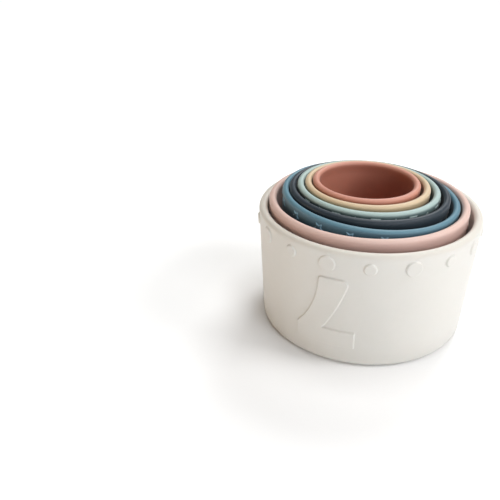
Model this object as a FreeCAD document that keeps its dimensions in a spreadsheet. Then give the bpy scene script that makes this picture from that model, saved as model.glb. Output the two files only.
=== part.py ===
import FreeCAD, Part
import math
import os
import Sketcher

# A set of seven nesting and stacking cups, moulded in soft silicone.
# Each cup is one solid: a leaning wall with a full-round rim, a flat floor, a raised numeral
# and a ring of small raised shapes outside, and a shallow recess with one shape under the base.
# The numerals read the right way up when a cup is turned over and stacked into the tower.
# The set stands nested, open ends up, on the base of the largest cup. The cups fit loosely, so
# each of the smaller ones has settled a little to one side and leans on the wall around it.
# Frame: origin at the centre of the largest base, +Z up, numeral side towards -Y.

# Dimensions shared by all cups, in millimetres. wall_lean is radius gained per unit of height.
# The raised shapes start inside the wall and end outside it before they are trimmed.
SHARED = {
    "floor_thickness": 3.0,
    "wall_lean": 0.045,
    "rim_swell": 0.4,
    "swell_height": 3.0,
    "base_round": 2.5,
    "corner_round": 1.5,
    "foot_width": 5.0,
    "recess_depth": 0.8,
    "base_shape_rise": 0.5,
    "base_shape_share": 0.6,
    "numeral_middle": 0.47,
    "reach_inside": 12.0,
    "reach_outside": 4.0,
}

# Dimensions of each cup, largest first: the outside of the rim, half of the rim's thickness,
# the height and the relief; where the cup stands in the nest, with its lean to the right and
# its turn about its own axis in degrees; then the numeral and the ring of small shapes.
CUP_FIELDS = ("rim_radius", "rim_half", "cup_height", "relief",
              "side_shift", "stand_height", "tilt", "heading",
              "numeral_height", "shape_count", "shape_size", "shape_drop")
CUPS = {
    "cup_7_cream": (47.5, 1.85, 53.5, 0.70, 0.0, 0.0, 0.0, -16.4, 32.0, 9, 3.25, 6.1),
    "cup_6_pink": (42.5, 1.60, 54.0, 0.40, -0.7, 3.0, 0.0, 12.0, 32.0, 15, 2.8, 8.0),
    "cup_5_blue": (37.7, 1.40, 51.25, 0.40, -2.45, 7.8, 3.0, -9.2, 31.0, 18, 2.2, 4.2),
    "cup_4_charcoal": (34.0, 1.40, 49.5, 0.30, -1.75, 11.6, 1.5, 9.0, 30.0, 14, 2.4, 7.0),
    "cup_3_sage": (30.2, 1.45, 47.8, 0.30, -2.15, 14.63, 1.5, 8.1, 29.0, 12, 1.8, 3.5),
    "cup_2_sand": (26.45, 1.45, 45.7, 0.30, -2.05, 17.98, 0.8, 4.0, 28.0, 12, 2.2, 6.6),
    "cup_1_coral": (22.75, 1.45, 43.7, 0.30, -2.45, 21.0, 0.8, -6.0, 26.0, 12, 1.6, 6.4),
}

FULL_TURN = 360.0


class Size:
    """A dimension that holds its number and the spreadsheet expression that drives it."""

    def __init__(self, value, text):
        self.value = value
        self.text = text

    def joined(self, other, sign, value):
        other_text = other.text if isinstance(other, Size) else repr(float(other))
        return Size(value, "(" + self.text + " " + sign + " " + other_text + ")")

    def __add__(self, other):
        return self.joined(other, "+", self.value + number(other))

    __radd__ = __add__

    def __sub__(self, other):
        return self.joined(other, "-", self.value - number(other))

    def __mul__(self, other):
        return self.joined(other, "*", self.value * number(other))

    def __neg__(self):
        return self * -1.0


def number(size):
    return size.value if isinstance(size, Size) else float(size)


class Corner:
    """A corner of an outline. bow is the rise of the arc to the next corner, 0 for a straight
    edge, positive where the arc bulges to the right of the way round."""

    def __init__(self, x, y, bow=0.0):
        self.x = x
        self.y = y
        self.bow = bow


def arc_bow(radius, turn_degrees):
    """The rise of an arc of this radius over this many degrees."""
    return radius * (1.0 - math.cos(math.radians(turn_degrees) / 2.0))


# Outlines of the numerals, one unit high about the origin, the right way up.
# Bowls are arcs of quarter turns, so a bow is worked out from the bowl's radius.

def numeral_one():
    return [[Corner(-0.03, -0.5), Corner(0.19, -0.5), Corner(0.19, 0.5), Corner(0.0, 0.5),
             Corner(-0.21, 0.34), Corner(-0.21, 0.12), Corner(-0.03, 0.24)]]


def numeral_two():
    outer, inner, middle = 0.31, 0.11, 0.19
    bend, tight = arc_bow(outer, 90), arc_bow(inner, 90)
    return [[Corner(-outer, middle), Corner(-inner, middle, -tight),
             Corner(0.0, middle + inner, -tight), Corner(inner, middle, -0.03),
             Corner(-outer, -0.33), Corner(-outer, -0.5), Corner(outer, -0.5),
             Corner(outer, -0.30), Corner(0.0, -0.30, 0.04), Corner(outer, middle, bend),
             Corner(0.0, 0.5, bend)]]


def numeral_three():
    top, low, thick, left = 0.255, 0.295, 0.19, -0.02
    top_y, low_y = 0.5 - top, low - 0.5
    top_in, low_in = top - thick, low - thick
    waist = (top ** 2 - low ** 2 + (top_y - low_y) ** 2) / (2.0 * (top_y - low_y))
    waist_x = math.sqrt(top ** 2 - waist ** 2)
    top_turn = math.degrees(math.asin(waist / top))
    low_turn = math.degrees(math.asin((top_y - waist - low_y) / low))
    bend, tight = arc_bow(top, 90), -arc_bow(top_in, 90)
    low_bend, low_tight = arc_bow(low, 90), -arc_bow(low_in, 90)
    return [[Corner(left + top, top_y, bend), Corner(left, 0.5, bend), Corner(left - top, top_y),
             Corner(left - top_in, top_y, tight), Corner(left, top_y + top_in, tight),
             Corner(left + top_in, top_y, tight), Corner(left, top_y - top_in),
             Corner(left - 0.06, top_y - top_in), Corner(left - 0.06, low_y + low_in),
             Corner(left, low_y + low_in, low_tight), Corner(left + low_in, low_y, low_tight),
             Corner(left, low_y - low_in, low_tight), Corner(left - low_in, low_y),
             Corner(left - low, low_y, low_bend), Corner(left, -0.5, low_bend),
             Corner(left + low, low_y, arc_bow(low, low_turn)),
             Corner(left + waist_x, top_y - waist, arc_bow(top, top_turn))]]


def numeral_four():
    return [[Corner(0.06, -0.5), Corner(0.26, -0.5), Corner(0.26, -0.30), Corner(0.37, -0.30),
             Corner(0.37, -0.11), Corner(0.26, -0.11), Corner(0.26, 0.20), Corner(0.06, 0.20),
             Corner(0.06, -0.11), Corner(-0.12, -0.11), Corner(0.09, 0.5), Corner(-0.13, 0.5),
             Corner(-0.35, -0.11), Corner(-0.35, -0.30), Corner(0.06, -0.30)]]


def numeral_five():
    outer, inner, middle = 0.31, 0.11, -0.19
    bend, tight = arc_bow(outer, 90), arc_bow(inner, 90)
    join_x = -0.09
    join_y = middle + math.sqrt(outer ** 2 - join_x ** 2)
    join_turn = 90.0 + math.degrees(math.asin(-join_x / outer))
    return [[Corner(0.30, 0.30), Corner(0.30, 0.5), Corner(-0.27, 0.5),
             Corner(-0.30, middle + inner), Corner(0.0, middle + inner, -tight),
             Corner(inner, middle, -tight), Corner(0.0, middle - inner, -tight),
             Corner(-inner, middle), Corner(-outer, middle, bend), Corner(0.0, -0.5, bend),
             Corner(outer, middle, arc_bow(outer, join_turn)), Corner(join_x, join_y),
             Corner(-0.08, 0.30)]]


def numeral_six():
    outer, inner, middle = 0.31, 0.11, -0.19
    bend, tight = arc_bow(outer, 90), arc_bow(inner, 90)
    bowl = [Corner(-inner, middle, tight), Corner(0.0, middle - inner, tight),
            Corner(inner, middle, tight), Corner(0.0, middle + inner, tight)]
    return [[Corner(-outer, middle, bend), Corner(0.0, -0.5, bend), Corner(outer, middle, bend),
             Corner(0.0, middle + outer, -0.02), Corner(0.24, 0.37), Corner(0.10, 0.5, 0.10)],
            bowl]


def numeral_seven():
    return [[Corner(-0.385, 0.5), Corner(-0.385, 0.26), Corner(0.025, 0.255, 0.024),
             Corner(-0.27, -0.415, 0.02), Corner(-0.215, -0.5), Corner(0.06, -0.5, 0.012),
             Corner(0.098, -0.46, -0.069), Corner(0.38, 0.285), Corner(0.385, 0.5)]]


# Outlines of the small shapes, one unit from centre to edge, as they stand on a nested cup.

def disc(reach=1.0):
    quarter = arc_bow(reach, 90)
    return [[Corner(reach, 0.0, quarter), Corner(0.0, reach, quarter),
             Corner(-reach, 0.0, quarter), Corner(0.0, -reach, quarter)]]


def small_disc():
    return disc(0.74)


def pill():
    flat, end = 0.65, 0.4
    quarter = arc_bow(end, 90)
    return [[Corner(flat, -end, quarter), Corner(flat + end, 0.0, quarter), Corner(flat, end),
             Corner(-flat, end, quarter), Corner(-flat - end, 0.0, quarter), Corner(-flat, -end)]]


def star():
    points, waist = 5, 0.5
    corners = []
    for index in range(2 * points):
        reach = 1.0 if index % 2 == 0 else waist
        angle = math.radians(-90.0 + index * FULL_TURN / (2 * points))
        corners.append(Corner(reach * math.cos(angle), reach * math.sin(angle)))
    return [corners]


def cross():
    arm = 0.36
    return [[Corner(-arm, -1.0), Corner(arm, -1.0), Corner(arm, -arm), Corner(1.0, -arm),
             Corner(1.0, arm), Corner(arm, arm), Corner(arm, 1.0), Corner(-arm, 1.0),
             Corner(-arm, arm), Corner(-1.0, arm), Corner(-1.0, -arm), Corner(-arm, -arm)]]


def triangle():
    return [[Corner(-1.0, 0.75), Corner(0.0, -1.0), Corner(1.0, 0.75)]]


def upright_triangle():
    return [[Corner(-1.0, -1.0), Corner(1.0, -1.0), Corner(0.0, 0.75)]]


def heart():
    lobe = 0.30
    return [[Corner(0.0, 1.0), Corner(-1.0, -0.25, lobe), Corner(-0.5, -0.9, 0.12),
             Corner(0.0, -0.6, 0.12), Corner(0.5, -0.9, lobe), Corner(1.0, -0.25)]]


NUMERALS = {"cup_1_coral": numeral_one, "cup_2_sand": numeral_two, "cup_3_sage": numeral_three,
            "cup_4_charcoal": numeral_four, "cup_5_blue": numeral_five,
            "cup_6_pink": numeral_six, "cup_7_cream": numeral_seven}
SHAPES = {"cup_1_coral": disc, "cup_2_sand": heart, "cup_3_sage": triangle,
          "cup_4_charcoal": cross, "cup_5_blue": star, "cup_6_pink": pill, "cup_7_cream": disc}

# Two of the rings alternate: these stand halfway between the shapes above.
SHAPES_BETWEEN = {"cup_3_sage": upright_triangle, "cup_7_cream": small_disc}


def fill_sheet(document):
    """Write every driving dimension to the sheet and return them as Size values."""
    sheet = document.addObject("Spreadsheet::Sheet", "Dimensions")
    entries = dict(SHARED)
    for name, values in CUPS.items():
        for field, value in zip(CUP_FIELDS, values):
            entries[name + "_" + field] = value
    sizes = {}
    for row, (alias, value) in enumerate(entries.items(), start=1):
        sheet.set("A%d" % row, alias)
        sheet.set("B%d" % row, str(value))
        sheet.setAlias("B%d" % row, alias)
        sizes[alias] = Size(float(value), "Dimensions." + alias)
    document.recompute()
    return sizes


def origin_feature(body, role):
    for feature in body.Origin.OriginFeatures:
        if feature.Role == role:
            return feature
    raise RuntimeError("no origin feature " + role)


def new_sketch(body, name, plane, offset=None):
    """A sketch on one of the body's own planes, moved along the plane's normal by offset."""
    sketch = body.newObject("Sketcher::SketchObject", name)
    sketch.AttachmentSupport = (origin_feature(body, plane), [""])
    sketch.MapMode = "FlatFace"
    if offset is not None:
        sketch.setExpression("AttachmentOffset.Base.z", offset.text)
    return sketch


def edge_between(start, end, bow):
    """Line or arc from start to end. Returns it with which of its ends lies at start."""
    first = FreeCAD.Vector(start[0], start[1], 0.0)
    last = FreeCAD.Vector(end[0], end[1], 0.0)
    if bow == 0.0:
        return Part.LineSegment(first, last), 1, 2, 0.0
    chord = last - first
    side = FreeCAD.Vector(chord.y, -chord.x, 0.0).normalize()
    rise = abs(bow)
    radius = (chord.Length ** 2 / 4.0 + rise ** 2) / (2.0 * rise)
    toward_bulge = side if bow > 0 else -side
    centre = (first + last) * 0.5 + toward_bulge * (rise - radius)
    circle = Part.Circle(centre, FreeCAD.Vector(0.0, 0.0, 1.0), radius)
    ends = (first, last) if bow > 0 else (last, first)
    angles = [math.atan2(point.y - centre.y, point.x - centre.x) for point in ends]
    arc = Part.ArcOfCircle(circle, angles[0], angles[1])
    return (arc, 1, 2, radius) if bow > 0 else (arc, 2, 1, radius)


def pin_coordinate(sketch, kind, axis_line, geometry, end, size):
    """Hold one coordinate of a point: on the axis where it is zero, else at its dimension."""
    if abs(number(size)) < 1e-9:
        sketch.addConstraint(Sketcher.Constraint("PointOnObject", geometry, end, axis_line))
        return
    index = sketch.addConstraint(Sketcher.Constraint(kind, -1, 1, geometry, end, number(size)))
    if isinstance(size, Size):
        sketch.setExpression("Constraints[%d]" % index, size.text)


def draw_outline(sketch, corners):
    """Add one closed outline whose corners and arc radii are held by their dimensions."""
    count = len(corners)
    placed = []
    for index, corner in enumerate(corners):
        after = corners[(index + 1) % count]
        start = (number(corner.x), number(corner.y))
        end = (number(after.x), number(after.y))
        curve, first, last, radius = edge_between(start, end, number(corner.bow))
        geometry = sketch.addGeometry(curve, False)
        placed.append((geometry, first, last, radius))
    for index, corner in enumerate(corners):
        geometry, first, last, radius = placed[index]
        following = placed[(index + 1) % count]
        sketch.addConstraint(
            Sketcher.Constraint("Coincident", geometry, last, following[0], following[1]))
        pin_coordinate(sketch, "DistanceX", -2, geometry, first, corner.x)
        pin_coordinate(sketch, "DistanceY", -1, geometry, first, corner.y)
        if radius:
            held = sketch.addConstraint(Sketcher.Constraint("Radius", geometry, radius))
            if isinstance(corner.bow, Size):
                ratio = radius / number(corner.bow)
                sketch.setExpression("Constraints[%d]" % held, (corner.bow * ratio).text)


def half_pitch_sine(count):
    """The sine of half of the angle between two shapes of a ring."""
    return Size(math.sin(math.pi / count.value), "sin(180 deg / " + count.text + ")")


def scaled(outlines, size, middle_x, middle_y, turned=False):
    """Outlines of one unit brought to size about a middle point, upside down if turned."""
    factor = -1.0 if turned else 1.0
    result = []
    for outline in outlines:
        corners = []
        for corner in outline:
            x = middle_x + size * (corner.x * factor)
            y = middle_y + size * (corner.y * factor)
            bow = size * corner.bow if corner.bow else 0.0
            corners.append(Corner(x, y, bow))
        result.append(corners)
    return result


def check_cut(before, body, what):
    """A cut that points away from the solid removes nothing, so the volumes are compared."""
    after = body.Shape.Volume
    if after >= before - 1e-6:
        raise RuntimeError(body.Label + ": " + what + " removed nothing")


def revolve(body, kind, name, corners):
    """A revolution or groove of an outline about the body's own axis."""
    before = body.Shape.Volume if kind == "Groove" else 0.0
    sketch = new_sketch(body, name + "_profile", "XZ_Plane")
    draw_outline(sketch, corners)
    feature = body.newObject("PartDesign::" + kind, name)
    feature.Profile = sketch
    feature.ReferenceAxis = (sketch, ["V_Axis"])
    feature.Angle = FULL_TURN
    body.Document.recompute()
    if kind == "Groove":
        check_cut(before, body, name)
    return feature


def raise_outlines(body, name, outlines, plane, offset, length, backwards=False):
    """A pad of outlines drawn on a plane at offset, going out along the plane's normal."""
    sketch = new_sketch(body, name + "_outline", plane, offset)
    for corners in outlines:
        draw_outline(sketch, corners)
    pad = body.newObject("PartDesign::Pad", name)
    pad.Profile = sketch
    pad.setExpression("Length", length.text)
    pad.Reversed = backwards
    body.Document.recompute()
    return pad


def place(body, own):
    """Stand the cup in the nest: turned about its own axis, then tilted to the right."""
    turned = "rotation(vector(0; 0; 1); %s)" % own["heading"].text
    tilted = "rotation(vector(0; 1; 0); %s)" % own["tilt"].text
    stood = "vector(%s; 0; %s)" % (own["side_shift"].text, own["stand_height"].text)
    body.setExpression("Placement", "placement(%s; %s * %s)" % (stood, tilted, turned))
    body.Document.recompute()


def make_cup(document, sizes, name):
    """One cup, placed in the nest."""
    own = {field: sizes[name + "_" + field] for field in CUP_FIELDS}
    body = document.addObject("PartDesign::Body", name)
    body.Label = name
    top = own["cup_height"]
    half = own["rim_half"]
    lean = sizes["wall_lean"]
    rim_height = top - half
    rim_middle = own["rim_radius"] - half
    foot_radius = own["rim_radius"] - rim_height * lean
    round_out = sizes["base_round"]
    quarter = arc_bow(1.0, 90)

    # The outside, as a solid plug: base, rounded foot, leaning wall, outer half of the rim.
    revolve(body, "Revolution", "outside", [
        Corner(0.0, 0.0), Corner(foot_radius - round_out, 0.0, round_out * quarter),
        Corner(foot_radius, round_out), Corner(own["rim_radius"], rim_height, half * quarter),
        Corner(rim_middle, top), Corner(0.0, top)])

    # The numeral, upside down while the cup stands on its base.
    start = own["rim_radius"] - sizes["reach_inside"]
    length = sizes["reach_inside"] + sizes["reach_outside"]
    numeral = scaled(NUMERALS[name](), own["numeral_height"], 0.0,
                     top * sizes["numeral_middle"], turned=True)
    raise_outlines(body, "numeral", numeral, "XZ_Plane", start, length)

    # The ring of small shapes below the rim.
    shape_height = top - own["shape_drop"]
    shapes = scaled(SHAPES[name](), own["shape_size"], 0.0, shape_height)
    if name in SHAPES_BETWEEN:
        halfway = own["rim_radius"] * half_pitch_sine(own["shape_count"])
        shapes += scaled(SHAPES_BETWEEN[name](), own["shape_size"], halfway, shape_height)
    pad = raise_outlines(body, "ring_shape", shapes, "XZ_Plane", start, length)
    pattern = body.newObject("PartDesign::PolarPattern", "ring")
    pattern.Originals = [pad]
    pattern.Axis = (origin_feature(body, "Z_Axis"), [""])
    pattern.Angle = FULL_TURN
    pattern.setExpression("Occurrences", own["shape_count"].text)
    body.Tip = pattern
    document.recompute()

    # Everything raised is trimmed to stand out of the wall by the relief.
    far = own["rim_radius"] + sizes["reach_outside"] * 2.0
    revolve(body, "Groove", "relief_trim", [
        Corner(foot_radius + own["relief"], 0.0), Corner(far, 0.0), Corner(far, top),
        Corner(own["rim_radius"] + own["relief"] + half * lean, top)])

    # The hollow: floor, small corner round, leaning wall, inner half of the rim.
    floor_top = sizes["floor_thickness"]
    inner_rim = own["rim_radius"] - half * 2.0
    wall_top = inner_rim - sizes["swell_height"] * lean + sizes["rim_swell"]
    floor_radius = foot_radius - half * 2.0 + sizes["rim_swell"] + floor_top * lean
    corner_round = sizes["corner_round"]
    revolve(body, "Groove", "hollow", [
        Corner(0.0, floor_top),
        Corner(floor_radius - corner_round, floor_top, corner_round * quarter),
        Corner(floor_radius, floor_top + corner_round),
        Corner(wall_top, rim_height - sizes["swell_height"]),
        Corner(inner_rim, rim_height, -half * quarter),
        Corner(rim_middle, top), Corner(0.0, top)])

    # The recess under the base, which leaves a flat foot ring, and the shape raised in it.
    recess_radius = foot_radius - round_out - sizes["foot_width"]
    depth = sizes["recess_depth"]
    revolve(body, "Groove", "base_recess", [
        Corner(0.0, 0.0), Corner(recess_radius, 0.0), Corner(recess_radius - depth, depth),
        Corner(0.0, depth)])
    base_shape = scaled(SHAPES[name](), recess_radius * sizes["base_shape_share"], 0.0, 0.0)
    raise_outlines(body, "base_shape", base_shape, "XY_Plane", depth, sizes["base_shape_rise"],
                   backwards=True)
    place(body, own)
    return body


def check_document(document, bodies):
    for item in document.Objects:
        for mark in ("Invalid", "Error"):
            if mark in item.State:
                raise RuntimeError(item.Name + " is left " + mark)
    for body in bodies:
        if body.Shape.isNull() or not body.Shape.isValid():
            raise RuntimeError(body.Label + " has no valid shape")
        if len(body.Shape.Solids) != 1:
            raise RuntimeError(body.Label + " is not one solid")


document = FreeCAD.newDocument("StackingCups")
sizes = fill_sheet(document)
bodies = [make_cup(document, sizes, name) for name in CUPS]
check_document(document, bodies)

os.makedirs("parts", exist_ok=True)
for body in bodies:
    body.Shape.exportStep("parts/" + body.Label + ".step")
    box = body.Shape.BoundBox
    print("%-15s volume %9.1f mm3, z %6.2f to %6.2f" % (
        body.Label, body.Shape.Volume, box.ZMin, box.ZMax))
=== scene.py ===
import math

import bpy
import numpy as np
from mathutils import Matrix, Vector


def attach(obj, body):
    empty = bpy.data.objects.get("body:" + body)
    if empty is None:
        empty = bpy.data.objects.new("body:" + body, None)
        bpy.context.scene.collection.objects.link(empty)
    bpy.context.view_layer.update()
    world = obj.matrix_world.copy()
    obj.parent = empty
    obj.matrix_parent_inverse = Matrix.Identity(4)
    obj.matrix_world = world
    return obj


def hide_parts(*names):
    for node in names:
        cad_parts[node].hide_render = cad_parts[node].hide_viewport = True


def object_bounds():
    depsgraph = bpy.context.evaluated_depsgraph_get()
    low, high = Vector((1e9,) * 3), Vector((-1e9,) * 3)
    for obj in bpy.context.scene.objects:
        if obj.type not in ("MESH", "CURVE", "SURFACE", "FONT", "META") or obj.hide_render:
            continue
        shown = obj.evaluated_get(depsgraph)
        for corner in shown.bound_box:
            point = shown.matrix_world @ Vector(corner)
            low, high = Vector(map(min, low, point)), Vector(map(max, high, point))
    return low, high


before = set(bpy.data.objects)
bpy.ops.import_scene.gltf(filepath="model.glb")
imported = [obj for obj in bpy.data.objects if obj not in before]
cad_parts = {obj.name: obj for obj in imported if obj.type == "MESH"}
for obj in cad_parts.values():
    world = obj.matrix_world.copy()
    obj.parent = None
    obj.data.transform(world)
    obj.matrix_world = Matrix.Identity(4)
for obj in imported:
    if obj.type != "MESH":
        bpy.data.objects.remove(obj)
cad_low, cad_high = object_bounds()

MM = 0.001

# How every cup of the set is moulded, in metres and as ratios.
WALL_LEAN = 0.045
FLOOR_THICKNESS = 3.0 * MM
BASE_ROUND = 2.5 * MM
CORNER_ROUND = 1.5 * MM
FOOT_WIDTH = 5.0 * MM
RECESS_DEPTH = 0.8 * MM
BASE_SHAPE_RISE = 0.5 * MM
RIM_SWELL = 0.4 * MM
SWELL_HEIGHT = 3.0 * MM
NUMERAL_MIDDLE = 0.47
BASE_SHAPE_SHARE = 0.6

# How finely a cup is modelled: the size of a plain face on the walls and on the floor, and how
# far from an edge of the raised work the faces are divided, once and then again.
FACE_SIZE = 1.05 * MM
FLOOR_FACE_SIZE = 3.0 * MM
FIRST_DIVIDE = 1.7 * MM
SECOND_DIVIDE = 0.75 * MM

# The width of a raised edge's slope, and of the fade from the painted highlight on a rim's top
# to the wall below, with the share of that painted highlight left where the wall begins.
EDGE_SOFTNESS = 0.55 * MM
HIGHLIGHT_FADE = 1.2 * MM
HIGHLIGHT_AT_WALL = 0.25

SMOOTH_ANGLE = math.radians(50.0)

# Where a rim's crown and the outside of its bead are measured, as drops below the top.
CROWN_DROP = 0.004 * MM
BEAD_DROPS = (0.2 * MM, 1.1 * MM)

# The silicone's mottling, from the coarsest to the finest, as noise scales per metre, and how
# far the walls' tone swings either way. How strongly the painted highlight shows on the slopes
# of the raised work.
CLOUD_SCALE = 45.0
MOTTLE_SCALE = 420.0
GRAIN_SCALE = 2600.0
TONE_SWING = 0.035
EDGE_HIGHLIGHT = 0.8
GRAIN_DEPTH = 0.02 * MM

# The floor's glow: how fast it grows with the distance from the set in metres, how much of that
# growth passes before it shows, and how bright it ends.
GLOW_GROWTH = 1.3
GLOW_DELAY = 0.08
GLOW_END = 0.9
FLOOR_SIZE = 8.0

# How bright the walls look to the camera, and how much light they give.
WALLS_SEEN = 0.95
WALLS_LIGHT = 0.02

# The camera: its lens in millimetres, its place, and its angles in degrees.
LENS = 43.29
SENSOR_WIDTH = 36.0
CAMERA_PLACE = (0.0, -244.69 * MM, 160.63 * MM)
CAMERA_TURN = 12.20
CAMERA_TIP = 61.50
CAMERA_ROLL = -0.39

FULL_TURN = 2.0 * math.pi
WHITE = (1.0, 1.0, 1.0)
BLACK = (0.0, 0.0, 0.0)


# ---------------------------------------------------------------- outlines of the raised work
# A corner is (x, y) or (x, y, bow), where bow is the rise of the arc to the next corner. A
# positive bow bulges to the right of the way round. Numerals are one unit high, small shapes
# one unit from centre to edge.

def arc_bow(radius, turn_degrees):
    return radius * (1.0 - math.cos(math.radians(turn_degrees) / 2.0))


def numeral_one():
    return [[(-0.03, -0.5), (0.19, -0.5), (0.19, 0.5), (0.0, 0.5), (-0.21, 0.34), (-0.21, 0.12),
             (-0.03, 0.24)]]


def numeral_two():
    outer, inner, middle = 0.31, 0.11, 0.19
    bend, tight = arc_bow(outer, 90), arc_bow(inner, 90)
    return [[(-outer, middle), (-inner, middle, -tight), (0.0, middle + inner, -tight),
             (inner, middle, -0.03), (-outer, -0.33), (-outer, -0.5), (outer, -0.5),
             (outer, -0.30), (0.0, -0.30, 0.04), (outer, middle, bend), (0.0, 0.5, bend)]]


def numeral_three():
    top, low, thick, left = 0.255, 0.295, 0.19, -0.02
    top_y, low_y = 0.5 - top, low - 0.5
    top_in, low_in = top - thick, low - thick
    waist = (top ** 2 - low ** 2 + (top_y - low_y) ** 2) / (2.0 * (top_y - low_y))
    waist_x = math.sqrt(top ** 2 - waist ** 2)
    top_turn = math.degrees(math.asin(waist / top))
    low_turn = math.degrees(math.asin((top_y - waist - low_y) / low))
    bend, tight = arc_bow(top, 90), -arc_bow(top_in, 90)
    low_bend, low_tight = arc_bow(low, 90), -arc_bow(low_in, 90)
    return [[(left + top, top_y, bend), (left, 0.5, bend), (left - top, top_y),
             (left - top_in, top_y, tight), (left, top_y + top_in, tight),
             (left + top_in, top_y, tight), (left, top_y - top_in),
             (left - 0.06, top_y - top_in), (left - 0.06, low_y + low_in),
             (left, low_y + low_in, low_tight), (left + low_in, low_y, low_tight),
             (left, low_y - low_in, low_tight), (left - low_in, low_y),
             (left - low, low_y, low_bend), (left, -0.5, low_bend),
             (left + low, low_y, arc_bow(low, low_turn)),
             (left + waist_x, top_y - waist, arc_bow(top, top_turn))]]


def numeral_four():
    return [[(0.06, -0.5), (0.26, -0.5), (0.26, -0.30), (0.37, -0.30), (0.37, -0.11),
             (0.26, -0.11), (0.26, 0.20), (0.06, 0.20), (0.06, -0.11), (-0.12, -0.11),
             (0.09, 0.5), (-0.13, 0.5), (-0.35, -0.11), (-0.35, -0.30), (0.06, -0.30)]]


def numeral_five():
    outer, inner, middle = 0.31, 0.11, -0.19
    bend, tight = arc_bow(outer, 90), arc_bow(inner, 90)
    join_x = -0.09
    join_y = middle + math.sqrt(outer ** 2 - join_x ** 2)
    join_turn = 90.0 + math.degrees(math.asin(-join_x / outer))
    return [[(0.30, 0.30), (0.30, 0.5), (-0.27, 0.5), (-0.30, middle + inner),
             (0.0, middle + inner, -tight), (inner, middle, -tight),
             (0.0, middle - inner, -tight), (-inner, middle), (-outer, middle, bend),
             (0.0, -0.5, bend), (outer, middle, arc_bow(outer, join_turn)), (join_x, join_y),
             (-0.08, 0.30)]]


def numeral_six():
    outer, inner, middle = 0.31, 0.11, -0.19
    bend, tight = arc_bow(outer, 90), arc_bow(inner, 90)
    bowl = [(-inner, middle, tight), (0.0, middle - inner, tight), (inner, middle, tight),
            (0.0, middle + inner, tight)]
    return [[(-outer, middle, bend), (0.0, -0.5, bend), (outer, middle, bend),
             (0.0, middle + outer, -0.02), (0.24, 0.37), (0.10, 0.5, 0.10)], bowl]


def numeral_seven():
    return [[(-0.385, 0.5), (-0.385, 0.26), (0.025, 0.255, 0.024), (-0.27, -0.415, 0.02),
             (-0.215, -0.5), (0.06, -0.5, 0.012), (0.098, -0.46, -0.069), (0.38, 0.285),
             (0.385, 0.5)]]


def disc(reach=1.0):
    quarter = arc_bow(reach, 90)
    return [[(reach, 0.0, quarter), (0.0, reach, quarter), (-reach, 0.0, quarter),
             (0.0, -reach, quarter)]]


def small_disc():
    return disc(0.74)


def pill():
    flat, end = 0.65, 0.4
    quarter = arc_bow(end, 90)
    return [[(flat, -end, quarter), (flat + end, 0.0, quarter), (flat, end),
             (-flat, end, quarter), (-flat - end, 0.0, quarter), (-flat, -end)]]


def star():
    points, waist = 5, 0.5
    corners = []
    for index in range(2 * points):
        reach = 1.0 if index % 2 == 0 else waist
        angle = index * FULL_TURN / (2 * points) - math.pi / 2.0
        corners.append((reach * math.cos(angle), reach * math.sin(angle)))
    return [corners]


def cross():
    arm = 0.36
    return [[(-arm, -1.0), (arm, -1.0), (arm, -arm), (1.0, -arm), (1.0, arm), (arm, arm),
             (arm, 1.0), (-arm, 1.0), (-arm, arm), (-1.0, arm), (-1.0, -arm), (-arm, -arm)]]


def triangle():
    return [[(-1.0, 0.75), (0.0, -1.0), (1.0, 0.75)]]


def upright_triangle():
    return [[(-1.0, -1.0), (1.0, -1.0), (0.0, 0.75)]]


def heart():
    lobe = 0.30
    return [[(0.0, 1.0), (-1.0, -0.25, lobe), (-0.5, -0.9, 0.12), (0.0, -0.6, 0.12),
             (0.5, -0.9, lobe), (1.0, -0.25)]]


def traced(outline, arc_steps=10):
    """The outline as a closed run of points, with its arcs divided."""
    points = []
    for index, corner in enumerate(outline):
        start = np.array(corner[:2])
        end = np.array(outline[(index + 1) % len(outline)][:2])
        bow = corner[2] if len(corner) > 2 else 0.0
        points.append(start)
        if bow == 0.0:
            continue
        chord = end - start
        length = np.linalg.norm(chord)
        side = np.array((chord[1], -chord[0])) / length * math.copysign(1.0, bow)
        rise = abs(bow)
        radius = (length ** 2 / 4.0 + rise ** 2) / (2.0 * rise)
        centre = (start + end) / 2.0 + side * (rise - radius)
        for step in range(1, arc_steps):
            along = start + chord * (step / arc_steps) - centre
            reach = np.linalg.norm(along)
            points.append(centre + along * (radius / reach))
    return np.array(points)


def depth_inside(outlines, x, y):
    """How far each point lies inside the outlines, negative outside them."""
    nearest = np.full(len(x), np.inf)
    inside = np.zeros(len(x), bool)
    for outline in outlines:
        points = traced(outline)
        for start, end in zip(points, np.roll(points, -1, axis=0)):
            edge = end - start
            share = ((x - start[0]) * edge[0] + (y - start[1]) * edge[1]) / (edge @ edge)
            share = share.clip(0.0, 1.0)
            gap = np.hypot(x - start[0] - share * edge[0], y - start[1] - share * edge[1])
            nearest = np.minimum(nearest, gap)
            crosses = (start[1] > y) != (end[1] > y)
            rise = edge[1] if edge[1] else 1.0
            crossing = start[0] + (y - start[1]) / rise * edge[0]
            inside ^= crosses & (x < crossing)
    return np.where(inside, nearest, -nearest)


# ---------------------------------------------------------------- the cups
# A cup is modelled standing at the origin with its numeral towards -Y, then put in its place.

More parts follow.
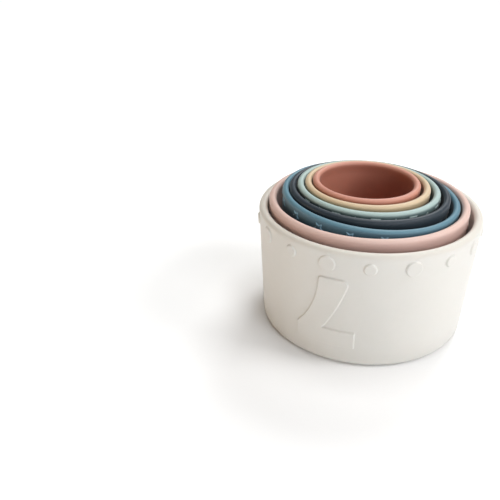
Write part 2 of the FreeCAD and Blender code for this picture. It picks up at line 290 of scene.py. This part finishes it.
class Cup:
    """One cup's finish and raised work, and the dimensions that its CAD node gives."""

    def __init__(self, node, colours, numeral, numeral_height, relief):
        self.node = node
        self.wall_colour, self.rim_colour, self.edge_highlight_colour = colours
        self.numeral = numeral
        self.numeral_height = numeral_height * MM
        self.relief = relief * MM

    def ring(self, shapes, count, size, drop):
        """Its ring of small shapes: two kinds alternate. size is from centre to edge."""
        self.shapes = shapes
        self.count = count
        self.size = size * MM
        self.drop = drop * MM
        return self

    def stand(self, side_shift, stand_height, tilt, heading):
        """Where it stands in the nest. Tilted to the right, turned about its own axis."""
        self.place = (Matrix.Translation((side_shift * MM, 0.0, stand_height * MM))
                      @ Matrix.Rotation(math.radians(tilt), 4, "Y")
                      @ Matrix.Rotation(math.radians(heading), 4, "Z"))
        self.measure()
        return self

    def measure(self):
        """Reads the height and the rim from the CAD node; the foot follows from the wall's set
        lean.
        """
        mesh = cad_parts[self.node].data
        upright = self.place.inverted()
        points = np.array([upright @ vertex.co for vertex in mesh.vertices])
        self.top = points[:, 2].max()
        reach = np.hypot(points[:, 0], points[:, 1])
        drop = self.top - points[:, 2]
        self.rim_middle = reach[drop < CROWN_DROP].mean()
        bead_start, bead_end = BEAD_DROPS
        on_bead = (drop > bead_start) & (drop < bead_end) & (reach > self.rim_middle)
        out, down = reach[on_bead] - self.rim_middle, drop[on_bead]
        self.rim_half = float(np.median((out ** 2 + down ** 2) / (2.0 * down)))
        self.rim_radius = self.rim_middle + self.rim_half
        self.rim_height = self.top - self.rim_half
        self.foot_radius = self.rim_radius - WALL_LEAN * self.rim_height
        self.recess_radius = self.foot_radius - BASE_ROUND - FOOT_WIDTH

    def wall_radius(self, height):
        return self.rim_radius - WALL_LEAN * (self.rim_height - height)


# Each silicone's colour on the walls, on the rim's top, and on the slopes of the raised work.
# The rims' colours are a painted highlight, paler than the walls, except the cream cup's, which
# is a little darker than its wall. The slopes' colours are a painted highlight too.
CREAM = ((0.700, 0.680, 0.635), (0.665, 0.635, 0.575), (0.720, 0.700, 0.655))
PINK = ((0.560, 0.375, 0.330), (0.670, 0.480, 0.420), (0.75, 0.60, 0.55))
# The blue and sage walls are set darker as painted shade.
BLUE = ((0.080, 0.165, 0.220), (0.112, 0.228, 0.290), (0.26, 0.47, 0.62))
CHARCOAL = ((0.022, 0.032, 0.042), (0.027, 0.038, 0.050), (0.12, 0.14, 0.16))
SAGE = ((0.115, 0.170, 0.172), (0.375, 0.480, 0.455), (0.55, 0.68, 0.66))
SAND = ((0.470, 0.350, 0.215), (0.610, 0.475, 0.315), (0.75, 0.62, 0.48))
CORAL = ((0.435, 0.172, 0.116), (0.560, 0.265, 0.197), (0.65, 0.35, 0.28))

CUPS = (
    Cup("cup_7_cream", CREAM, numeral_seven, 32.0, 0.70)
    .ring((disc, small_disc), 9, 3.25, 6.1).stand(0.0, 0.0, 0.0, -16.4),
    Cup("cup_6_pink", PINK, numeral_six, 32.0, 0.40)
    .ring((pill,), 15, 2.8, 8.0).stand(-0.7, 3.0, 0.0, 12.0),
    Cup("cup_5_blue", BLUE, numeral_five, 31.0, 0.40)
    .ring((star,), 18, 2.2, 4.2).stand(-2.45, 7.8, 3.0, -9.2),
    Cup("cup_4_charcoal", CHARCOAL, numeral_four, 30.0, 0.30)
    .ring((cross,), 14, 2.4, 7.0).stand(-1.75, 11.6, 1.5, 9.0),
    Cup("cup_3_sage", SAGE, numeral_three, 29.0, 0.30)
    .ring((triangle, upright_triangle), 12, 1.8, 3.5).stand(-2.15, 14.63, 1.5, 8.1),
    Cup("cup_2_sand", SAND, numeral_two, 28.0, 0.30)
    .ring((heart,), 12, 2.2, 6.6).stand(-2.05, 17.98, 0.8, 4.0),
    Cup("cup_1_coral", CORAL, numeral_one, 26.0, 0.30)
    .ring((disc,), 12, 1.6, 6.4).stand(-2.45, 21.0, 0.8, -6.0),
)


def deselect():
    if bpy.context.object and bpy.context.object.mode == "EDIT":
        bpy.ops.object.mode_set(mode="OBJECT")
    bpy.ops.object.select_all(action="DESELECT")


def divided(start, end, face_size):
    """Points from start to end, start left out, about face_size apart."""
    length = math.hypot(end[0] - start[0], end[1] - start[1])
    steps = max(1, round(length / face_size))
    return [(start[0] + (end[0] - start[0]) * step / steps,
             start[1] + (end[1] - start[1]) * step / steps) for step in range(1, steps + 1)]


def quarter_round(centre, radius, first_degrees, turn_degrees, steps=7):
    """Points along a rounding, its first point left out."""
    points = []
    for step in range(1, steps + 1):
        angle = math.radians(first_degrees + turn_degrees * step / steps)
        points.append((centre[0] + radius * math.cos(angle),
                       centre[1] + radius * math.sin(angle)))
    return points


def cup_profile(cup):
    """The section of a cup, radius and height, from the middle of its base round to its floor."""
    half = cup.rim_half
    inner_rim = cup.rim_radius - 2.0 * half
    swell_foot = (inner_rim - SWELL_HEIGHT * WALL_LEAN + RIM_SWELL, cup.rim_height - SWELL_HEIGHT)
    floor_radius = cup.foot_radius - 2.0 * half + RIM_SWELL + FLOOR_THICKNESS * WALL_LEAN
    corner_height = FLOOR_THICKNESS + CORNER_ROUND
    points = [(0.0, RECESS_DEPTH)]

    def run_to(radius, height, face_size=FACE_SIZE):
        points.extend(divided(points[-1], (radius, height), face_size))

    run_to(cup.recess_radius - RECESS_DEPTH, RECESS_DEPTH)
    run_to(cup.recess_radius, 0.0)
    run_to(cup.foot_radius - BASE_ROUND, 0.0)
    points.extend(quarter_round((cup.foot_radius - BASE_ROUND, BASE_ROUND),
                                BASE_ROUND, -90.0, 90.0))
    run_to(cup.rim_radius, cup.rim_height)
    points.extend(quarter_round((cup.rim_middle, cup.rim_height), half, 0.0, 180.0, steps=14))
    run_to(*swell_foot)
    run_to(floor_radius, corner_height)
    points.extend(quarter_round((floor_radius - CORNER_ROUND, corner_height),
                                CORNER_ROUND, 0.0, -90.0, steps=5))
    run_to(0.0, FLOOR_THICKNESS, FLOOR_FACE_SIZE)
    return points


def spin_cup(cup):
    """Draws the section edge by edge and spins it into a closed cup."""
    deselect()
    profile = cup_profile(cup)
    start = (profile[0][0], 0.0, profile[0][1])
    bpy.ops.mesh.primitive_plane_add(size=FACE_SIZE, location=start)
    piece = bpy.context.object
    piece.name = piece.data.name = cup.node + "_soft"
    bpy.ops.object.mode_set(mode="EDIT")
    bpy.ops.mesh.select_mode(type="VERT")
    bpy.ops.mesh.select_all(action="SELECT")
    bpy.ops.mesh.merge(type="CENTER")
    for before, after in zip(profile, profile[1:]):
        step = (after[0] - before[0], 0.0, after[1] - before[1])
        bpy.ops.mesh.extrude_region_move(TRANSFORM_OT_translate={"value": step})
    bpy.ops.mesh.select_all(action="SELECT")
    segments = 4 * round(FULL_TURN * cup.rim_radius / FACE_SIZE / 4.0)
    bpy.ops.mesh.spin(steps=segments, angle=FULL_TURN, use_auto_merge=True,
                      center=(0.0, 0.0, 0.0), axis=(0.0, 0.0, 1.0))
    bpy.ops.mesh.select_all(action="SELECT")
    bpy.ops.mesh.remove_doubles(threshold=0.001 * MM)
    bpy.ops.mesh.normals_make_consistent(inside=False)
    bpy.ops.object.mode_set(mode="OBJECT")
    bpy.ops.object.transform_apply(location=True, rotation=True, scale=True)
    return piece


def raised_depth(cup, points):
    """How far points of a cup's outside and base lie inside its raised work, and the rise."""
    x, y, z = points.T
    reach = np.hypot(x, y)
    depth = np.full(len(points), -1.0)
    on_wall = (reach > cup.wall_radius(z) - cup.rim_half) & (z < cup.rim_height)

    height = cup.numeral_height
    numeral_reach = 0.6 * height
    front = on_wall & (y < 0.0) & (abs(x) < numeral_reach)
    depth[front] = height * depth_inside(
        cup.numeral(), -x[front] / height, (cup.top * NUMERAL_MIDDLE - z[front]) / height)

    band_middle = cup.top - cup.drop
    band = on_wall & (abs(z - band_middle) < 2.0 * cup.size)
    pitch = FULL_TURN / cup.count
    up = (z[band] - band_middle) / cup.size
    for index, shape in enumerate(cup.shapes):
        angle = np.arctan2(x[band], -y[band]) - pitch * index / 2.0
        off = angle - pitch * np.round(angle / pitch)
        along = reach[band] * np.sin(off) / cup.size
        depth[band] = np.maximum(depth[band], cup.size * depth_inside(shape(), along, up))

    under = (z < 1.5 * RECESS_DEPTH) & (reach < cup.recess_radius) & ~on_wall
    share = cup.recess_radius * BASE_SHAPE_SHARE
    depth[under] = share * depth_inside(cup.shapes[0](), x[under] / share, y[under] / share)
    rise = np.where(under, BASE_SHAPE_RISE, cup.relief)
    return depth, rise


def divide_near_edges(piece, cup, distance, cuts):
    """Divides the faces that lie near an edge of the raised work."""
    mesh = piece.data
    middles = np.zeros(len(mesh.polygons) * 3)
    mesh.polygons.foreach_get("center", middles)
    depth = raised_depth(cup, middles.reshape(-1, 3))[0]
    near_edge = abs(depth) < distance
    mesh.vertices.foreach_set("select", np.zeros(len(mesh.vertices), bool))
    mesh.edges.foreach_set("select", np.zeros(len(mesh.edges), bool))
    mesh.polygons.foreach_set("select", near_edge)
    bpy.ops.object.mode_set(mode="EDIT")
    bpy.ops.mesh.subdivide(number_cuts=cuts)
    bpy.ops.object.mode_set(mode="OBJECT")


def raise_work(piece, cup):
    """Lifts the numeral, the ring of shapes and the base shape out of the skin."""
    bpy.ops.object.mode_set(mode="EDIT")
    bpy.ops.mesh.select_mode(type="FACE")
    bpy.ops.object.mode_set(mode="OBJECT")
    divide_near_edges(piece, cup, FIRST_DIVIDE, 1)
    divide_near_edges(piece, cup, SECOND_DIVIDE, 2)
    mesh = piece.data
    flat = np.zeros(len(mesh.vertices) * 3)
    mesh.vertices.foreach_get("co", flat)
    points = flat.reshape(-1, 3)
    depth, rise = raised_depth(cup, points)
    share = (depth / EDGE_SOFTNESS + 0.5).clip(0.0, 1.0)
    share = share * share * (3.0 - 2.0 * share)
    strength = rise.max()
    group = piece.vertex_groups.new(name="raised")
    for index in np.nonzero(share)[0]:
        group.add([int(index)], float(share[index] * rise[index] / strength), "REPLACE")
    lift = piece.modifiers.new("raise", "DISPLACE")
    lift.vertex_group = group.name
    lift.direction = "NORMAL"
    lift.mid_level = 0.0
    lift.strength = strength
    bpy.ops.object.modifier_apply(modifier=lift.name)
    piece.vertex_groups.clear()
    mark(mesh, "raised", share)
    # The edge mark: a painted highlight on the slopes of the raised work.
    mark(mesh, "edge", 4.0 * share * (1.0 - share))
    # The rim mark: a painted highlight on the rim's top, fading into the wall below.
    over_wall = points[:, 2] - cup.rim_height
    mark(mesh, "rim", (over_wall / HIGHLIGHT_FADE + HIGHLIGHT_AT_WALL).clip(0.0, 1.0))


def mark(mesh, name, values):
    """Writes a value per corner point, for the material to read."""
    mesh.attributes.new(name, "FLOAT", "POINT").data.foreach_set("value", values)


def make_cup(cup):
    """One finished cup in its place in the nest, in place of its CAD node."""
    piece = spin_cup(cup)
    raise_work(piece, cup)
    piece.matrix_world = cup.place
    bpy.ops.object.transform_apply(location=True, rotation=True, scale=True)
    bpy.ops.object.shade_smooth_by_angle(angle=SMOOTH_ANGLE)
    piece.data.materials.clear()
    piece.data.materials.append(silicone(cup))
    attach(piece, cup.node)
    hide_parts(cup.node)


# ---------------------------------------------------------------- finishes

class Level:
    """A number that varies from place to place. Sums with it add Math nodes to its tree."""

    def __init__(self, nodes, socket):
        self.nodes = nodes
        self.socket = socket

    def math(self, operation, first, second):
        node = self.nodes.add("ShaderNodeMath", {0: first, 1: second}, operation=operation)
        return Level(self.nodes, node.outputs[0])

    def __add__(self, other):
        return self.math("ADD", self, other)

    __radd__ = __add__

    def __sub__(self, other):
        return self.math("SUBTRACT", self, other)

    def __mul__(self, other):
        return self.math("MULTIPLY", self, other)


class Nodes:
    """The node tree of a material or a world, under way."""

    def __init__(self, owner):
        owner.use_nodes = True
        self.tree = owner.node_tree

    def add(self, kind, inputs=None, **settings):
        """Any node: its type, the values or links of its sockets, and its settings."""
        node = self.tree.nodes.new(kind)
        for name, setting in settings.items():
            setattr(node, name, setting)
        self.fill(node, inputs or {})
        return node

    def fill(self, node, inputs):
        """Sets a node's sockets, or links them."""
        for name, value in inputs.items():
            if isinstance(value, Level):
                value = value.socket
            if isinstance(value, bpy.types.NodeSocket):
                self.tree.links.new(value, node.inputs[name])
            else:
                node.inputs[name].default_value = value


class Finish(Nodes):
    """A material under way: its nodes, and the shader that they end in."""

    def __init__(self, name):
        self.material = bpy.data.materials.new(name)
        super().__init__(self.material)
        self.shader = self.tree.nodes["Principled BSDF"]
        self.place = self.add("ShaderNodeTexCoord").outputs["Object"]

    def noise(self, scale, detail, roughness=0.5):
        node = self.add("ShaderNodeTexNoise", {"Vector": self.place, "Scale": scale,
                                               "Detail": detail, "Roughness": roughness})
        return Level(self, node.outputs["Fac"])

    def marked(self, name):
        """A value that the mesh carries."""
        node = self.add("ShaderNodeAttribute", attribute_name=name)
        return Level(self, node.outputs["Fac"])

    def blend(self, share, first, second):
        """A colour between two others."""
        node = self.add("ShaderNodeMix", data_type="RGBA")
        self.fill(node, {0: share, 6: first, 7: second})
        return node.outputs[2]


def shade(colour, factor=1.0):
    """A colour made paler or darker, with the fourth part that a socket takes."""
    return tuple(min(1.0, part * factor) for part in colour) + (1.0,)


def silicone(cup):
    """Soft matt silicone, faintly cloudy and finely grained, with painted highlights on rims and
    slopes.
    """
    finish = Finish(cup.node + "_silicone")
    raised, edge, rim = finish.marked("raised"), finish.marked("edge"), finish.marked("rim")
    clouds = finish.noise(CLOUD_SCALE, detail=3.0)
    mottle = finish.noise(MOTTLE_SCALE, detail=2.0)
    grain = finish.noise(GRAIN_SCALE, detail=2.0, roughness=0.6)
    tone = clouds * 0.7 + mottle * 0.3
    wall = finish.blend(tone, shade(cup.wall_colour, 1.0 - TONE_SWING),
                        shade(cup.wall_colour, 1.0 + TONE_SWING))
    # Painted highlight on the rim's top, blended over the wall.
    rim_highlighted = finish.blend(rim, wall, shade(cup.rim_colour))
    # Painted highlight on the slopes of the raised work.
    colour = finish.blend(edge * EDGE_HIGHLIGHT, rim_highlighted, shade(cup.edge_highlight_colour))
    bump = finish.add("ShaderNodeBump", {"Strength": 0.25, "Distance": GRAIN_DEPTH,
                                         "Height": grain + mottle * 0.6})
    finish.fill(finish.shader, {
        "Base Color": colour,
        "Roughness": 0.44 + clouds * 0.10 - raised * 0.05 - rim * 0.03,
        "Normal": bump.outputs["Normal"],
        "IOR": 1.42,
        "Specular IOR Level": 0.40,
        "Subsurface Weight": 0.06,
        "Subsurface Radius": (1.0, 0.6, 0.45),
        "Subsurface Scale": 1.2 * MM,
        "Sheen Weight": 0.10,
        "Sheen Roughness": 0.4,
    })
    return finish.material


def studio_floor():
    """A plain pale floor, which glows more and more away from the set, as a lit cove does."""
    deselect()
    bpy.ops.mesh.primitive_plane_add(size=FLOOR_SIZE, location=(0.0, 0.0, cad_low.z))
    floor = bpy.context.object
    floor.name = "studio_floor"
    bpy.ops.object.transform_apply(location=True)
    finish = Finish("floor_paper")
    fibre = finish.noise(900.0, detail=2.0)
    colour = finish.blend(fibre, shade(WHITE, 0.96), shade(WHITE, 0.98))
    away = finish.add("ShaderNodeVectorMath", {0: finish.place}, operation="LENGTH")
    glow_share = Level(finish, away.outputs["Value"]) * GLOW_GROWTH - GLOW_DELAY
    glow = finish.blend(glow_share, shade(BLACK), shade(WHITE, GLOW_END))
    finish.fill(finish.shader, {"Base Color": colour, "Roughness": 0.9,
                                "Specular IOR Level": 0.1, "Emission Color": glow,
                                "Emission Strength": 1.0})
    floor.data.materials.append(finish.material)


# ---------------------------------------------------------------- studio

def softbox(name, place, size, power, colour):
    """A square light at a place, facing the middle of the set."""
    data = bpy.data.lights.new(name, "AREA")
    data.size = size
    data.energy = power
    data.color = colour
    light = bpy.data.objects.new(name, data)
    bpy.context.scene.collection.objects.link(light)
    light.location = place
    aim = Vector((0.0, 0.0, 0.03)) - Vector(place)
    light.rotation_euler = aim.to_track_quat("-Z", "Y").to_euler()


def studio_light():
    """Bright from the right and from behind, with a warm weak fill from the left."""
    softbox("right_softbox", (0.75, -0.05, 0.60), 0.35, 3.6, (1.0, 0.99, 0.99))
    softbox("front_right_softbox", (0.60, -0.70, 0.40), 0.40, 3.05, (0.92, 0.95, 1.0))
    softbox("back_softbox", (0.15, 0.60, 0.65), 0.35, 3.9, (0.97, 0.99, 1.0))
    softbox("top_softbox", (0.05, 0.0, 1.0), 0.60, 5.2, (1.0, 0.995, 0.98))
    softbox("front_fill", (0.0, -0.90, 0.12), 0.35, 1.0, (1.0, 0.97, 0.92))
    softbox("left_warm_fill", (-0.90, -0.15, 0.14), 0.25, 1.45, (1.0, 0.72, 0.46))


def studio_walls():
    """Walls that look white and give next to no light."""
    world = bpy.data.worlds.new("studio_walls")
    nodes = Nodes(world)
    seen = Level(nodes, nodes.add("ShaderNodeLightPath").outputs["Is Camera Ray"])
    nodes.fill(nodes.tree.nodes["Background"],
               {"Color": shade(WHITE), "Strength": seen * WALLS_SEEN + WALLS_LIGHT})
    bpy.context.scene.world = world


def camera():
    """Looks down at the set from the front, turned a little to its left."""
    data = bpy.data.cameras.new("camera")
    data.sensor_width = SENSOR_WIDTH
    data.lens = LENS
    view = bpy.data.objects.new("camera", data)
    bpy.context.scene.collection.objects.link(view)
    view.matrix_world = (Matrix.Translation(CAMERA_PLACE)
                         @ Matrix.Rotation(math.radians(CAMERA_TURN), 4, "Z")
                         @ Matrix.Rotation(math.radians(CAMERA_TIP), 4, "X")
                         @ Matrix.Rotation(math.radians(CAMERA_ROLL), 4, "Z"))
    bpy.context.scene.camera = view


camera()
studio_floor()
studio_light()
studio_walls()
for cup in CUPS:
    make_cup(cup)
bpy.context.scene.view_settings.view_transform = "Standard"
